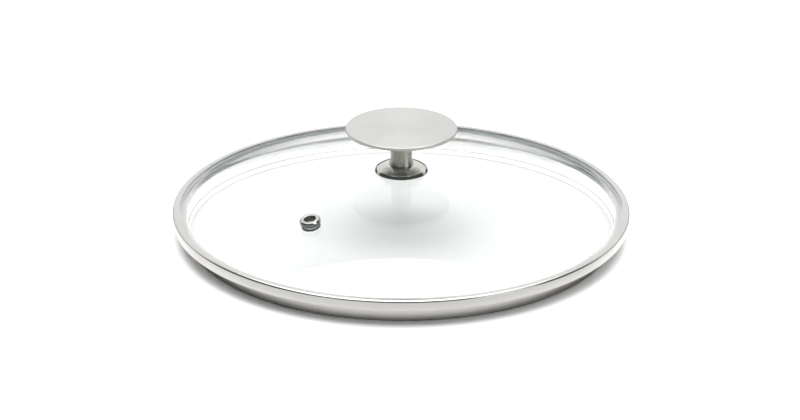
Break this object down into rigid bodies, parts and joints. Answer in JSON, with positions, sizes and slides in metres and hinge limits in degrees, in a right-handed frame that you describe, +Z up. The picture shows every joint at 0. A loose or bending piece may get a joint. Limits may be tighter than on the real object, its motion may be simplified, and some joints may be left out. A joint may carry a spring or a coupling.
{
  "type": "pan lid",
  "caption": "Domed glass pan lid with a rolled steel rim and skirt, a flat disc knob on a stem and a small steam vent.",
  "frame": {"origin": "centre of the skirt's bottom edge, on the surface that the lid stands on", "axes": "+Z up along the lid's and the knob's axis; the vent leans out at an azimuth of 228 degrees, front left when seen along +Y"},
  "size_m": [0.253, 0.253, 0.0627],
  "materials": {
    "rim_steel": "satin, rolled",
    "tempered_glass": "clear, polished",
    "brushed_knob_steel": "fine circular brushing",
    "satin_stem_steel": "satin turned",
    "polished_steel": "mirror polished",
    "fastener_steel": "plain stainless",
    "silicone": "matte",
    "bedding_silicone": "translucent, matte"
  },
  "bodies": {
    "lid": {"rim_ring": "rim_steel", "rim_seal": "bedding_silicone", "glass_dome": "tempered_glass", "knob_gasket": "silicone", "knob_bush": "silicone", "vent_eyelet": "polished_steel", "vent_gasket": "silicone", "vent_bush": "silicone", "vent_washer": "fastener_steel"},
    "knob": {"knob_disc": "brushed_knob_steel", "knob_stem": "satin_stem_steel", "knob_base": "polished_steel"},
    "fixing": {"knob_screw": "fastener_steel", "knob_washer": "fastener_steel"}
  },
  "joints": [
    {"name": "knob_turn", "type": "hinge", "parent": "lid", "child": "knob", "pos_m": [0, 0, 0.0412], "axis": [0, 0, 1], "range_deg": [0, 3600]},
    {"name": "screw_travel", "type": "slide", "parent": "lid", "child": "fixing", "axis": [0, 0, -1], "range_m": [0, 0.008]}
  ],
  "couplings": [
    {"joint": "screw_travel", "follows": "knob_turn", "m_per_rad": 0.00012732}
  ]
}
